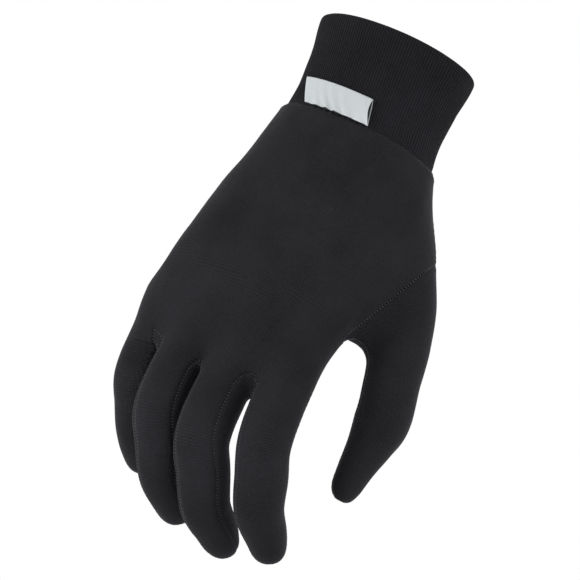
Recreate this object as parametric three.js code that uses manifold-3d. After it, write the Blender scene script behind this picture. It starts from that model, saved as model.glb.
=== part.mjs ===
// Knitted glove liner for a right hand, held in the shape of a relaxed hand. Millimetres.
// The origin is the centre of the wrist seam, where the ribbed cuff is sewn to the hand.
// +Z runs up through the open cuff, -Z to the fingertips, -Y is the back of the hand, +X the thumb side.
import * as THREE from "three";
import { mergeVertices } from "three/addons/utils/BufferGeometryUtils.js";
import Module from "manifold-3d";

const wasm = await Module();
wasm.setup();

// Cloth and seams
const KNIT_WALL = 1.2;
const SEAM_GAP = 0.3;

// Hand
const PALM_LENGTH = 117;
const PALM_WIDTH = 91;
const PALM_DEPTH = 35;
const WRIST_WIDTH = 74.5;
const WRIST_DEPTH = 44;
const WRIST_TILT = -5.5;

// Fingers and thumb
const INDEX_LENGTH = 114;
const MIDDLE_LENGTH = 119;
const RING_LENGTH = 113.5;
const LITTLE_LENGTH = 98;
const INDEX_WIDTH = 23.4;
const MIDDLE_WIDTH = 23.8;
const RING_WIDTH = 23;
const LITTLE_WIDTH = 20.5;
const THUMB_LENGTH = 139;
const THUMB_WIDTH = 24.5;
const FINGER_FLATNESS = 0.9;

// Where the seams lie, as shares of a finger's half depth: the edges of a fourchette above and below the
// middle of the finger, and the line between the back and the palm below it.
const FOURCHETTE_HEIGHT = 0.67;
const SIDE_SEAM_HEIGHT = 0.4;

// Cuff and label
const CUFF_HEIGHT = 43.2;
const CUFF_TOP_WIDTH = 74.8;
const CUFF_TOP_DEPTH = 53;
const CUFF_WALL = 2.2;
const CUFF_STEP = 1.6;
const CUFF_PINCH = 1.4;
const CUFF_TOP_SHIFT = -1.2;
const CUFF_TOP_TILT = -1.5;
const RIB_PITCH = 1.25;
const RIB_HEIGHT = 0.4;
const LABEL_WIDTH = 31;
const LABEL_HEIGHT = 12.4;
const LABEL_THICKNESS = 0.9;
const LABEL_LEAN = 2.5;
const LABEL_ANGLE = -103;

const KNIT_COLOUR = 0x262629;
const CUFF_COLOUR = 0x1d1d20;
const LABEL_COLOUR = 0xe9e8e6;
const KNIT_ROUGHNESS = 0.9;
const LABEL_ROUGHNESS = 0.45;

// How far the shapes that cut the cloth reach past it.
const SEAM_MARGIN = 4;

// How finely each form is faceted
const PALM_SIDES = 32;
const FINGER_SIDES = 12;
const THUMB_SIDES = 16;
const HOLLOW_PALM_SIDES = 22;
const HOLLOW_FINGER_SIDES = 9;
const CUFF_INNER_SIDES = 56;
const LABEL_STEPS = 10;

// Corners that lie closer together than this are one corner.
const SAME_POINT = 1e-5;

// The palm from the wrist to the roots of the fingers. "along" is a share of the palm's length, "hand" goes
// from 0 for the wrist's sizes to 1 for the palm's, "wide" and "deep" scale them, "shift" and "lift" are
// shares of the palm's width and depth, and "tilt", in degrees, adds to the wrist's tilt for the slant of
// the knuckles.
const PALM_SECTIONS = [
  { along: 0.0, hand: 0.0, wide: 1.0, deep: 1.0, shift: 0.0, lift: 0.0, tilt: 0 },
  { along: 0.08, hand: 0.3, wide: 1.0, deep: 1.02, shift: -0.005, lift: 0.01, tilt: 0.5 },
  { along: 0.19, hand: 0.6, wide: 1.0, deep: 1.06, shift: -0.012, lift: 0.04, tilt: 1 },
  { along: 0.34, hand: 0.9, wide: 1.0, deep: 1.07, shift: -0.035, lift: 0.06, tilt: 1 },
  { along: 0.5, hand: 1.0, wide: 0.985, deep: 1.05, shift: -0.08, lift: 0.06, tilt: 0 },
  { along: 0.66, hand: 1.0, wide: 0.965, deep: 1.0, shift: -0.127, lift: 0.05, tilt: -1.5 },
  { along: 0.8, hand: 1.0, wide: 0.95, deep: 0.9, shift: -0.158, lift: 0.05, tilt: -2.5 },
  { along: 0.9, hand: 1.0, wide: 0.93, deep: 0.76, shift: -0.175, lift: 0.09, tilt: -3.5 },
  { along: 0.96, hand: 1.0, wide: 0.89, deep: 0.6, shift: -0.178, lift: 0.13, tilt: -3.5 },
  { along: 1.0, hand: 1.0, wide: 0.83, deep: 0.4, shift: -0.178, lift: 0.16, tilt: -3.5 },
];
const PALM_SQUARENESS = 2.4;
const ROUND = 2;

// Fingers. "along", "across" and "lift" place the knuckle as shares of the palm's sizes. The angles, in
// degrees, turn each bone in its own frame: "lean" and "sway" to the thumb's side, "bend" to the palm.
const FINGERS = [
  {
    name: "index", long: INDEX_LENGTH, wide: INDEX_WIDTH,
    along: 0.68, across: 0.17, lift: -0.1, lean: 2.6, sway: [5.8, 8.5], bend: [8.8, 27, 18.5],
  },
  {
    name: "middle", long: MIDDLE_LENGTH, wide: MIDDLE_WIDTH,
    along: 0.71, across: -0.067, lift: -0.17, lean: -3, sway: [15, 10.5], bend: [12, 32.5, 17],
  },
  {
    name: "ring", long: RING_LENGTH, wide: RING_WIDTH,
    along: 0.675, across: -0.31, lift: -0.12, lean: -5, sway: [15, 6], bend: [14, 31, 14.5],
  },
  {
    name: "little", long: LITTLE_LENGTH, wide: LITTLE_WIDTH,
    along: 0.64, across: -0.525, lift: 0.0, lean: -5.8, sway: [11, 1], bend: [20, 26.5, 13],
  },
];

// Shares of a finger's length: its three bones.
const BONES = [0.53, 0.246, 0.224];

// Sections along a finger: "along" is a share of its length, "wide" and "deep" scale its width. A fourchette
// covers the sections where "strip" isn't 0: "strip" scales its height, down to a point at the fingertip,
// and "inner" is the share of the half width at which it stops towards the middle of the finger.
const FINGER_SECTIONS = [
  { along: 0.0, wide: 0.78, deep: 0.72, strip: 0, inner: 0 },
  { along: 0.11, wide: 0.93, deep: 0.95, strip: 0, inner: 0 },
  { along: 0.25, wide: 0.98, deep: 1.04, strip: 0.55, inner: 0.1 },
  { along: 0.4, wide: 0.99, deep: 1.03, strip: 1.0, inner: 0.1 },
  { along: 0.51, wide: 1.0, deep: 1.01, strip: 1.0, inner: 0.1 },
  { along: 0.62, wide: 0.99, deep: 0.98, strip: 1.0, inner: 0.1 },
  { along: 0.74, wide: 0.97, deep: 0.95, strip: 1.0, inner: 0.1 },
  { along: 0.84, wide: 0.93, deep: 0.91, strip: 0.95, inner: 0.15 },
  { along: 0.915, wide: 0.84, deep: 0.8, strip: 0.75, inner: 0.2 },
  { along: 0.965, wide: 0.65, deep: 0.61, strip: 0.35, inner: 0.3 },
  { along: 0.993, wide: 0.34, deep: 0.32, strip: 0, inner: 0 },
];
const FINGER_SQUARENESS = 2.15;

// The thumb from inside the wrist to its tip: "along" is a share of its length, "across", "lift" and "down"
// are shares of the palm's width, depth and length, "wide" and "deep" scale the thumb's width.
const THUMB_SECTIONS = [
  { along: 0.0, across: 0.27, lift: 0.12, down: 0.1, wide: 0.85, deep: 0.9 },
  { along: 0.1, across: 0.33, lift: 0.24, down: 0.2, wide: 1.05, deep: 1.1 },
  { along: 0.24, across: 0.4, lift: 0.42, down: 0.36, wide: 1.22, deep: 1.24 },
  { along: 0.38, across: 0.465, lift: 0.56, down: 0.5, wide: 1.17, deep: 1.15 },
  { along: 0.5, across: 0.508, lift: 0.68, down: 0.62, wide: 1.06, deep: 1.03 },
  { along: 0.62, across: 0.538, lift: 0.78, down: 0.75, wide: 0.98, deep: 0.95 },
  { along: 0.73, across: 0.555, lift: 0.88, down: 0.87, wide: 0.97, deep: 0.93 },
  { along: 0.82, across: 0.54, lift: 0.96, down: 0.97, wide: 0.87, deep: 0.8 },
  { along: 0.9, across: 0.52, lift: 1.03, down: 1.07, wide: 0.76, deep: 0.68 },
  { along: 0.955, across: 0.51, lift: 1.07, down: 1.135, wide: 0.64, deep: 0.54 },
  { along: 0.988, across: 0.5, lift: 1.1, down: 1.175, wide: 0.38, deep: 0.32 },
  { along: 1.0, across: 0.497, lift: 1.11, down: 1.19, wide: 0.18, deep: 0.15 },
];

// The web of skin between the thumb and the palm, in the same shares, with its half sizes as shares of the
// palm's width and depth.
const WEB_SECTIONS = [
  { across: 0.25, lift: 0.12, down: 0.36, wide: 0.25, deep: 0.42 },
  { across: 0.31, lift: 0.27, down: 0.54, wide: 0.2, deep: 0.33 },
  { across: 0.345, lift: 0.36, down: 0.66, wide: 0.135, deep: 0.22 },
  { across: 0.35, lift: 0.4, down: 0.72, wide: 0.085, deep: 0.13 },
];

// The direction in which the thumb and its web are widest, away from the palm.
const THUMB_SIDE = new THREE.Vector3(0.78, 0.625, 0).normalize();

// The seam round the thumb: two points that it passes, in the same shares, and how far it slants to the palm.
const THUMB_SEAM = {
  web: { across: 0.315, lift: 0.34, down: 0.7 },
  side: { across: 0.585, lift: 0.23, down: 0.325 },
  slant: 0.45,
};

// The cuff from the seam to its folded top: "up" is a share of its height, "flare" goes from 0 for the
// wrist's sizes to 1 for the top's, "pinch" narrows it and "round" draws in the rim by shares of its wall.
const CUFF_SECTIONS = [
  { up: 0.0, flare: 0.0, pinch: 0.0, round: 0.0 },
  { up: 0.3, flare: 0.25, pinch: 1.0, round: 0.0 },
  { up: 0.965, flare: 1.0, pinch: 0.0, round: 0.0 },
  { up: 1.0, flare: 1.0, pinch: 0.0, round: 0.35 },
];

const toRadians = THREE.MathUtils.degToRad;
const mix = THREE.MathUtils.lerp;

// A ring of points round a superellipse: half widths along "side" and "rise" about a centre.
function ringPoints(section, sides, inset) {
  const ring = [];
  const halfWide = Math.max(section.halfWide - inset, inset / 2);
  const halfDeep = Math.max(section.halfDeep - inset, inset / 2);
  const power = 2 / section.squareness;
  for (let step = 0; step < sides; step += 1) {
    const angle = (2 * Math.PI * step) / sides;
    const across = Math.sign(Math.cos(angle)) * Math.abs(Math.cos(angle)) ** power * halfWide;
    const up = Math.sign(Math.sin(angle)) * Math.abs(Math.sin(angle)) ** power * halfDeep;
    ring.push(
      section.centre.clone().addScaledVector(section.side, across).addScaledVector(section.rise, up),
    );
  }
  return ring;
}

// A closed solid through rings of equally many points, each ring seen anticlockwise from the last one.
function loft(rings) {
  const positions = [];
  const indices = [];
  const sides = rings[0].length;
  const middle = (ring) => ring
    .reduce((sum, point) => sum.add(point), new THREE.Vector3())
    .divideScalar(sides);
  rings.forEach((ring) => ring.forEach((point) => positions.push(...point.toArray())));
  positions.push(...middle(rings[0]).toArray());
  positions.push(...middle(rings[rings.length - 1]).toArray());
  const first = rings.length * sides;
  const last = first + 1;
  for (let row = 0; row + 1 < rings.length; row += 1) {
    for (let step = 0; step < sides; step += 1) {
      const a = row * sides + step;
      const b = row * sides + ((step + 1) % sides);
      const c = a + sides;
      const d = b + sides;
      indices.push(a, b, d, a, d, c);
    }
  }
  for (let step = 0; step < sides; step += 1) {
    const next = (step + 1) % sides;
    indices.push(first, next, step);
    indices.push(last, (rings.length - 1) * sides + step, (rings.length - 1) * sides + next);
  }
  const geometry = new THREE.BufferGeometry();
  geometry.setAttribute("position", new THREE.Float32BufferAttribute(positions, 3));
  geometry.setIndex(indices);
  return geometry;
}

// Sign of a closed mesh's volume: positive when its faces point out.
function signedVolume(geometry) {
  const position = geometry.getAttribute("position");
  const index = geometry.getIndex();
  const corner = [new THREE.Vector3(), new THREE.Vector3(), new THREE.Vector3()];
  let volume = 0;
  for (let face = 0; face < index.count; face += 3) {
    corner.forEach((point, k) => point.fromBufferAttribute(position, index.getX(face + k)));
    volume += corner[0].dot(corner[1].clone().cross(corner[2])) / 6;
  }
  return volume;
}

function toSolid(geometry) {
  const closed = geometry.clone();
  closed.deleteAttribute("normal");
  closed.deleteAttribute("uv");
  const merged = mergeVertices(closed, SAME_POINT);
  const triVerts = Uint32Array.from(merged.getIndex().array);
  if (signedVolume(merged) < 0) {
    for (let face = 0; face < triVerts.length; face += 3) {
      [triVerts[face + 1], triVerts[face + 2]] = [triVerts[face + 2], triVerts[face + 1]];
    }
  }
  const vertProperties = Float32Array.from(merged.getAttribute("position").array);
  return new wasm.Manifold(new wasm.Mesh({ numProp: 3, vertProperties, triVerts }));
}

const joinAll = (solids) => solids.reduce((whole, solid) => whole.add(solid));

// The largest connected body of a solid, as a geometry: crumbs left by a cut are dropped.
function mainBody(solid) {
  const mesh = solid.getMesh();
  const parent = Array.from({ length: mesh.vertProperties.length / 3 }, (_, k) => k);
  const find = (k) => {
    let root = k;
    while (parent[root] !== root) {
      parent[root] = parent[parent[root]];
      root = parent[root];
    }
    return root;
  };
  for (let face = 0; face < mesh.triVerts.length; face += 3) {
    const root = find(mesh.triVerts[face]);
    parent[find(mesh.triVerts[face + 1])] = root;
    parent[find(mesh.triVerts[face + 2])] = root;
  }
  const faces = new Map();
  for (let face = 0; face < mesh.triVerts.length; face += 3) {
    const root = find(mesh.triVerts[face]);
    faces.set(root, (faces.get(root) ?? []).concat([...mesh.triVerts.slice(face, face + 3)]));
  }
  const largest = [...faces.values()].reduce((best, body) => (body.length > best.length ? body : best));
  const geometry = new THREE.BufferGeometry();
  geometry.setAttribute("position", new THREE.Float32BufferAttribute(mesh.vertProperties, 3));
  geometry.setIndex(largest);
  const bare = geometry.toNonIndexed();
  return mergeVertices(bare, SAME_POINT);
}

function palmSections() {
  return PALM_SECTIONS.map((row) => {
    const tilt = toRadians(WRIST_TILT + row.tilt);
    return {
      centre: new THREE.Vector3(row.shift * PALM_WIDTH, row.lift * PALM_DEPTH, -row.along * PALM_LENGTH),
      side: new THREE.Vector3(Math.cos(tilt), 0, Math.sin(tilt)),
      rise: new THREE.Vector3(0, 1, 0),
      halfWide: (mix(WRIST_WIDTH, PALM_WIDTH, row.hand) * row.wide) / 2,
      halfDeep: (mix(WRIST_DEPTH, PALM_DEPTH, row.hand) * row.deep) / 2,
      squareness: mix(ROUND, PALM_SQUARENESS, row.hand),
    };
  });
}

// The four joints of a finger, and its sideways direction.
function fingerBones(finger) {
  const forward = new THREE.Vector3(0, 0, -1);
  const side = new THREE.Vector3(1, 0, 0);
  const back = new THREE.Vector3(0, -1, 0);
  const point = new THREE.Vector3(
    finger.across * PALM_WIDTH,
    finger.lift * PALM_DEPTH,
    -finger.along * PALM_LENGTH,
  );
  const joints = [point.clone()];
  const turns = [finger.lean, ...finger.sway];
  BONES.forEach((share, bone) => {
    const sway = toRadians(turns[bone]);
    forward.applyAxisAngle(back, sway);
    side.applyAxisAngle(back, sway);
    const bend = toRadians(finger.bend[bone]);
    forward.applyAxisAngle(side, bend);
    back.applyAxisAngle(side, bend);
    point.addScaledVector(forward, share * finger.long);
    joints.push(point.clone());
  });
  return { joints, side };
}

function sectionAt(curve, t, side, halfWide, halfDeep) {
  const tangent = curve.getTangentAt(t);
  const level = side.clone().addScaledVector(tangent, -side.dot(tangent)).normalize();
  return {
    centre: curve.getPointAt(t),
    side: level,
    rise: new THREE.Vector3().crossVectors(level, tangent).normalize(),
    halfWide,
    halfDeep,
    squareness: FINGER_SQUARENESS,
  };
}

function fingerSections(finger) {
  const { joints, side } = fingerBones(finger);
  const curve = new THREE.CatmullRomCurve3(joints, false, "centripetal");
  return FINGER_SECTIONS.map((row) => ({
    ...sectionAt(
      curve,
      row.along,
      side,
      (finger.wide * row.wide) / 2,
      (finger.wide * row.deep * FINGER_FLATNESS) / 2,
    ),
    strip: row.strip,
    inner: row.inner,
  }));
}

function thumbSections() {
  const points = THUMB_SECTIONS.map(palmPoint);
  const scale = THUMB_LENGTH / new THREE.CatmullRomCurve3(points).getLength();
  const root = points[0].clone();
  points.forEach((point) => point.sub(root).multiplyScalar(scale).add(root));
  const curve = new THREE.CatmullRomCurve3(points);
  return THUMB_SECTIONS.map((row) => sectionAt(
    curve,
    row.along,
    THUMB_SIDE,
    (THUMB_WIDTH * row.wide) / 2,
    (THUMB_WIDTH * row.deep) / 2,
  ));
}

// A place given in shares of the palm's sizes.
function palmPoint(place) {
  return new THREE.Vector3(place.across * PALM_WIDTH, place.lift * PALM_DEPTH, -place.down * PALM_LENGTH);
}

function webSections() {
  const along = new THREE.Vector3(0, 0, -1);
  return WEB_SECTIONS.map((row) => ({
    centre: palmPoint(row),
    side: THUMB_SIDE,
    rise: new THREE.Vector3().crossVectors(THUMB_SIDE, along),
    halfWide: row.wide * PALM_WIDTH,
    halfDeep: row.deep * PALM_DEPTH,
    squareness: ROUND,
  }));
}

// A section moved along its own direction by "step" millimetres.
function moved(section, step) {
  const forward = new THREE.Vector3().crossVectors(section.rise, section.side).normalize();
  return { ...section, centre: section.centre.clone().addScaledVector(forward, step) };
}

const palm = palmSections();
const fingers = FINGERS.map(fingerSections);
const thumb = thumbSections();
const web = webSections();

// The hand's outer form, or the hollow inside it: every length in it drawn in by "inset". The hollow runs
// out through the wrist.
function handForm(inset) {
  const round = (sections, sides) => {
    const tip = moved(sections[sections.length - 1], -inset);
    const shortened = [...sections.slice(0, -1), tip];
    return toSolid(loft(shortened.map((section) => ringPoints(section, sides, inset))));
  };
  const hollow = inset > 0;
  const open = hollow ? [moved(palm[0], -inset), ...palm.slice(1)] : palm;
  return joinAll([
    round(open, hollow ? HOLLOW_PALM_SIDES : PALM_SIDES),
    ...fingers.map((sections) => round(sections, hollow ? HOLLOW_FINGER_SIDES : FINGER_SIDES)),
    round(thumb, hollow ? HOLLOW_FINGER_SIDES : THUMB_SIDES),
    round(web, hollow ? HOLLOW_FINGER_SIDES : THUMB_SIDES),
  ]);
}

// A bar of rectangular section along a row of sections. Each limit is a function of the section that gives
// millimetres from its middle, to the side and towards the palm.
function bar(sections, sideFrom, sideTo, riseFrom, riseTo) {
  const corner = (section, across, up) => section.centre
    .clone()
    .addScaledVector(section.side, across(section))
    .addScaledVector(section.rise, up(section));
  return toSolid(loft(sections.map((section) => [
    corner(section, sideTo, riseTo),
    corner(section, sideFrom, riseTo),
    corner(section, sideFrom, riseFrom),
    corner(section, sideTo, riseFrom),
  ])));
}

// The space on the palm's side of the hand, out past the cloth, "grow" larger than the seam line.
function palmSide(grow) {
  const past = (section) => section.halfWide + SEAM_MARGIN;
  const before = (section) => -past(section);
  const seam = (section) => section.halfDeep * SIDE_SEAM_HEIGHT - grow;
  const below = (section) => section.halfDeep + SEAM_MARGIN;
  const hand = [moved(palm[0], -SEAM_MARGIN), ...palm.slice(1)];
  return joinAll([hand, ...fingers].map((sections) => {
    const last = sections[sections.length - 1];
    return bar([...sections, moved(last, SEAM_MARGIN)], before, past, seam, below);
  }));
}

// The strip along one side of a finger that a fourchette covers: side is 1 towards the thumb, -1 away.
function sideStrip(finger, side, grow) {
  const rows = fingers[finger].filter((section) => section.strip > 0);
  rows[0] = moved(rows[0], -grow);
  rows[rows.length - 1] = moved(rows[rows.length - 1], grow);
  const above = (section) => section.halfDeep * FOURCHETTE_HEIGHT * section.strip + grow;
  const below = (section) => -above(section);
  const near = (section) => section.halfWide * section.inner - grow;
  const far = (section) => section.halfWide + SEAM_MARGIN / 2 + grow;
  const flip = (limit) => (section) => -limit(section);
  return side > 0
    ? bar(rows, near, far, below, above)
    : bar(rows, flip(far), flip(near), below, above);
}

function fourchetteSpace(finger, grow) {
  return sideStrip(finger, -1, grow).add(sideStrip(finger + 1, 1, grow));
}

// The space of the thumb's piece: the thumb and its web with a margin, cut off at the slanting thumb seam.
function thumbSpace(grow) {
  const webEdge = palmPoint(THUMB_SEAM.web);
  const sideEdge = palmPoint(THUMB_SEAM.side);
  const line = sideEdge.clone().sub(webEdge).normalize();
  const outwards = new THREE.Vector3(line.z, THUMB_SEAM.slant, -line.x);
  outwards.addScaledVector(line, -outwards.dot(line)).normalize();
  const block = new THREE.BoxGeometry(THUMB_LENGTH * 2, THUMB_LENGTH * 2, THUMB_LENGTH * 2);
  block.applyQuaternion(new THREE.Quaternion().setFromUnitVectors(new THREE.Vector3(0, 0, 1), outwards));
  const centre = webEdge.clone().addScaledVector(outwards, THUMB_LENGTH - grow);
  block.translate(centre.x, centre.y, centre.z);
  const swollen = (sections) => {
    const longer = [...sections, moved(sections[sections.length - 1], SEAM_MARGIN)];
    return toSolid(loft(longer.map((section) => ringPoints(section, THUMB_SIDES, -SEAM_MARGIN - grow))));
  };
  return swollen(thumb).add(swollen(web)).intersect(toSolid(block));
}

const cloth = handForm(0).subtract(handForm(KNIT_WALL));
const withoutThumb = cloth.subtract(thumbSpace(SEAM_GAP));
const fourchettes = FINGERS.slice(1).map((finger, k) => ({
  name: `fourchette_${FINGERS[k].name}_${finger.name}`,
  solid: withoutThumb.intersect(fourchetteSpace(k, 0)),
}));
const panels = fourchettes.reduce(
  (rest, _, k) => rest.subtract(fourchetteSpace(k, SEAM_GAP)),
  withoutThumb,
);

function cuffSection(row) {
  const tilt = toRadians(mix(WRIST_TILT, CUFF_TOP_TILT, row.up));
  const bottomWide = WRIST_WIDTH / 2 - CUFF_STEP;
  const bottomDeep = WRIST_DEPTH / 2 - CUFF_STEP;
  const drawnIn = (row.pinch * CUFF_PINCH) + row.round * CUFF_WALL;
  return {
    centre: new THREE.Vector3(CUFF_TOP_SHIFT * row.up, 0, SEAM_GAP + row.up * CUFF_HEIGHT),
    side: new THREE.Vector3(Math.cos(tilt), 0, Math.sin(tilt)),
    rise: new THREE.Vector3(0, 1, 0),
    halfWide: mix(bottomWide, CUFF_TOP_WIDTH / 2, row.flare) - drawnIn,
    halfDeep: mix(bottomDeep, CUFF_TOP_DEPTH / 2, row.flare) - drawnIn,
  };
}

function pointOnCuff(section, angle, offset) {
  return section.centre
    .clone()
    .addScaledVector(section.side, Math.cos(angle) * (section.halfWide + offset))
    .addScaledVector(section.rise, Math.sin(angle) * (section.halfDeep + offset));
}

// Perimeter of an ellipse, by Ramanujan's formula.
function perimeter(a, b) {
  return Math.PI * (3 * (a + b) - Math.sqrt((3 * a + b) * (a + 3 * b)));
}

// Faces between two closed loops of points that may differ in number, each evenly spaced in angle.
function zipLoops(indices, startA, countA, startB, countB) {
  let a = 0;
  let b = 0;
  while (a < countA || b < countB) {
    const stepA = b >= countB || (a < countA && (a + 1) / countA <= (b + 1) / countB);
    const cornerA = startA + (a % countA);
    const cornerB = startB + (b % countB);
    if (stepA) {
      indices.push(cornerA, startA + ((a + 1) % countA), cornerB);
      a += 1;
    } else {
      indices.push(cornerA, startB + ((b + 1) % countB), cornerB);
      b += 1;
    }
  }
}

// The ribbed tube: up its outside with a ridge and a groove for each rib, over the folded top and down its
// smooth inside.
function cuffGeometry() {
  const ribs = Math.round(perimeter(WRIST_WIDTH / 2, WRIST_DEPTH / 2) / RIB_PITCH);
  const loops = [];
  CUFF_SECTIONS.forEach((row) => {
    const section = cuffSection(row);
    const loop = [];
    for (let step = 0; step < 2 * ribs; step += 1) {
      const ridge = step % 2 === 0 ? RIB_HEIGHT / 2 : -RIB_HEIGHT / 2;
      loop.push(pointOnCuff(section, (Math.PI * step) / ribs, ridge));
    }
    loops.push(loop);
  });
  [...CUFF_SECTIONS].reverse().filter((row) => row.round === 0).forEach((row) => {
    const section = cuffSection(row);
    const loop = [];
    for (let step = 0; step < CUFF_INNER_SIDES; step += 1) {
      loop.push(pointOnCuff(section, (2 * Math.PI * step) / CUFF_INNER_SIDES, -CUFF_WALL));
    }
    loops.push(loop);
  });
  const positions = [];
  const starts = loops.map((loop) => {
    const start = positions.length / 3;
    loop.forEach((point) => positions.push(...point.toArray()));
    return start;
  });
  const indices = [];
  loops.forEach((loop, k) => {
    const next = (k + 1) % loops.length;
    zipLoops(indices, starts[k], loop.length, starts[next], loops[next].length);
  });
  const geometry = new THREE.BufferGeometry();
  geometry.setAttribute("position", new THREE.Float32BufferAttribute(positions, 3));
  geometry.setIndex(indices);
  return geometry;
}

// The label: a flat loop of ribbon on the back of the cuff, its lower edge at the seam.
function labelGeometry() {
  const rings = [];
  for (let step = 0; step <= LABEL_STEPS; step += 1) {
    const arc = (step / LABEL_STEPS - 0.5) * LABEL_WIDTH;
    const corner = (height, depth) => {
      const up = height / CUFF_HEIGHT;
      const waist = CUFF_SECTIONS[1];
      const reached = up / waist.up;
      const flare = waist.flare * reached;
      const pinch = waist.pinch * reached;
      const section = cuffSection({ up, flare, pinch, round: 0 });
      const lean = (height / LABEL_HEIGHT) * LABEL_LEAN;
      const angle = toRadians(LABEL_ANGLE) + (arc - lean) / section.halfWide;
      return pointOnCuff(section, angle, RIB_HEIGHT / 2 + SEAM_GAP + depth);
    };
    rings.push([
      corner(SEAM_GAP, LABEL_THICKNESS),
      corner(LABEL_HEIGHT, LABEL_THICKNESS),
      corner(LABEL_HEIGHT, 0),
      corner(SEAM_GAP, 0),
    ]);
  }
  return loft(rings);
}

function node(name, geometry, colour, roughness) {
  const material = new THREE.MeshStandardMaterial({ color: colour, roughness, metalness: 0 });
  const mesh = new THREE.Mesh(geometry, material);
  mesh.name = name;
  return mesh;
}

const glove = new THREE.Group();
glove.add(node("back_panel", mainBody(panels.subtract(palmSide(SEAM_GAP))), KNIT_COLOUR, KNIT_ROUGHNESS));
glove.add(node("palm_panel", mainBody(panels.intersect(palmSide(0))), KNIT_COLOUR, KNIT_ROUGHNESS));
fourchettes.forEach((piece) => {
  glove.add(node(piece.name, mainBody(piece.solid), KNIT_COLOUR, KNIT_ROUGHNESS));
});
glove.add(node("thumb", mainBody(cloth.intersect(thumbSpace(0))), KNIT_COLOUR, KNIT_ROUGHNESS));
glove.add(node("cuff", mainBody(toSolid(cuffGeometry())), CUFF_COLOUR, KNIT_ROUGHNESS));
glove.add(node("label", mainBody(toSolid(labelGeometry())), LABEL_COLOUR, LABEL_ROUGHNESS));

export default glove;
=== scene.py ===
import math

import bpy
import numpy as np
from mathutils import Matrix, Vector


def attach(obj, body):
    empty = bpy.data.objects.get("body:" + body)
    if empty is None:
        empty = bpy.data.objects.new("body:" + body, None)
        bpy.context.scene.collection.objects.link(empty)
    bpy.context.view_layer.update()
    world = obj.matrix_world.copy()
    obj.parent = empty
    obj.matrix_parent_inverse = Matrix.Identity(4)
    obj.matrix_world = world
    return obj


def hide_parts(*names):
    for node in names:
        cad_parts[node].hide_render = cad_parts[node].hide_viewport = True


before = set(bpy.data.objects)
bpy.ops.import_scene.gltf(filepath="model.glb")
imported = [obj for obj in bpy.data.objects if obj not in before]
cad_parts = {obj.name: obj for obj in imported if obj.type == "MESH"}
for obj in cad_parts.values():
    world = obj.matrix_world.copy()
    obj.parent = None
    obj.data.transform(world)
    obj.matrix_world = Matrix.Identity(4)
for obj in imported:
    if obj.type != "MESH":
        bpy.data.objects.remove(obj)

# Sizes and tables follow those of the solids, in millimetres, and some are fitted closer to the photograph's
# outline. Meshes are made in metres.
MM = 0.001

KNIT_THICK = 1.0
PALM_LENGTH, PALM_WIDTH, PALM_DEPTH = 117, 91, 35
WRIST_WIDTH, WRIST_DEPTH, WRIST_TILT = 74.5, 44, -5.5
FINGER_FLATNESS, FINGER_POWER, PALM_POWER = 0.9, 2.15, 2.4
FOURCHETTE_HEIGHT, SIDE_SEAM_HEIGHT, THUMB_SIDE_LOWER = 0.67, 0.4, 0.22
THUMB_LENGTH, THUMB_WIDTH = 139, 24.5
CUFF_HEIGHT, CUFF_TOP_WIDTH, CUFF_TOP_DEPTH, CUFF_WALL = 43.2, 73.6, 51, 2.2
CUFF_STEP, CUFF_PINCH, CUFF_TOP_SHIFT, CUFF_TOP_TILT = 1.6, 1.4, -1.2, -3.1
RIB_PITCH, RIB_HEIGHT = 1.25, 0.42
LABEL_HEIGHT, LABEL_LEAN, LABEL_ANGLE = 12.4, 2.5, -103

# Columns: along, hand, wide, deep, shift, lift, tilt
PALM = np.array([
    (0.00, 0.0, 1.000, 1.00, 0.000, 0.00, 0.0),
    (0.08, 0.3, 0.990, 1.02, 0.000, 0.01, 0.5),
    (0.19, 0.6, 0.990, 1.06, -0.006, 0.04, 1.0),
    (0.34, 0.9, 1.000, 1.07, -0.035, 0.06, 1.0),
    (0.50, 1.0, 0.985, 1.05, -0.080, 0.06, 0.0),
    (0.66, 1.0, 0.965, 1.00, -0.127, 0.05, -1.5),
    (0.80, 1.0, 0.950, 0.90, -0.158, 0.05, -2.5),
    (0.90, 1.0, 0.930, 0.76, -0.175, 0.09, -3.5),
    (0.96, 1.0, 0.890, 0.60, -0.178, 0.13, -3.5),
    (1.00, 1.0, 0.830, 0.40, -0.178, 0.16, -3.5),
])

FINGERS = [
    dict(name="index", long=114, wide=22.9, along=0.68, across=0.17, lift=-0.1,
         lean=2.6, sway=(5.8, 10), bend=(8.8, 27, 18.5)),
    dict(name="middle", long=119, wide=23.2, along=0.71, across=-0.067, lift=-0.17,
         lean=-3, sway=(15, 13), bend=(12, 32.5, 17)),
    dict(name="ring", long=113.5, wide=23, along=0.675, across=-0.31, lift=-0.12,
         lean=-5, sway=(15, 9), bend=(14, 31, 14.5)),
    dict(name="little", long=98, wide=20.5, along=0.64, across=-0.525, lift=0.0,
         lean=-5.8, sway=(11, 1), bend=(20, 26.5, 13)),
]
BONES = (0.53, 0.246, 0.224)

# Columns: along, wide, deep, strip
FINGER = np.array([
    (0.000, 0.78, 0.72, 1.00),
    (0.110, 0.93, 0.95, 1.00),
    (0.250, 0.98, 1.04, 1.00),
    (0.400, 0.99, 1.03, 1.00),
    (0.510, 1.00, 1.01, 1.00),
    (0.620, 0.99, 0.98, 1.00),
    (0.740, 0.95, 0.94, 1.00),
    (0.840, 0.86, 0.88, 0.95),
    (0.915, 0.73, 0.74, 0.75),
    (0.965, 0.57, 0.56, 0.35),
    (0.993, 0.32, 0.31, 0.00),
    (1.000, 0.06, 0.06, 0.00),
])

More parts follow.
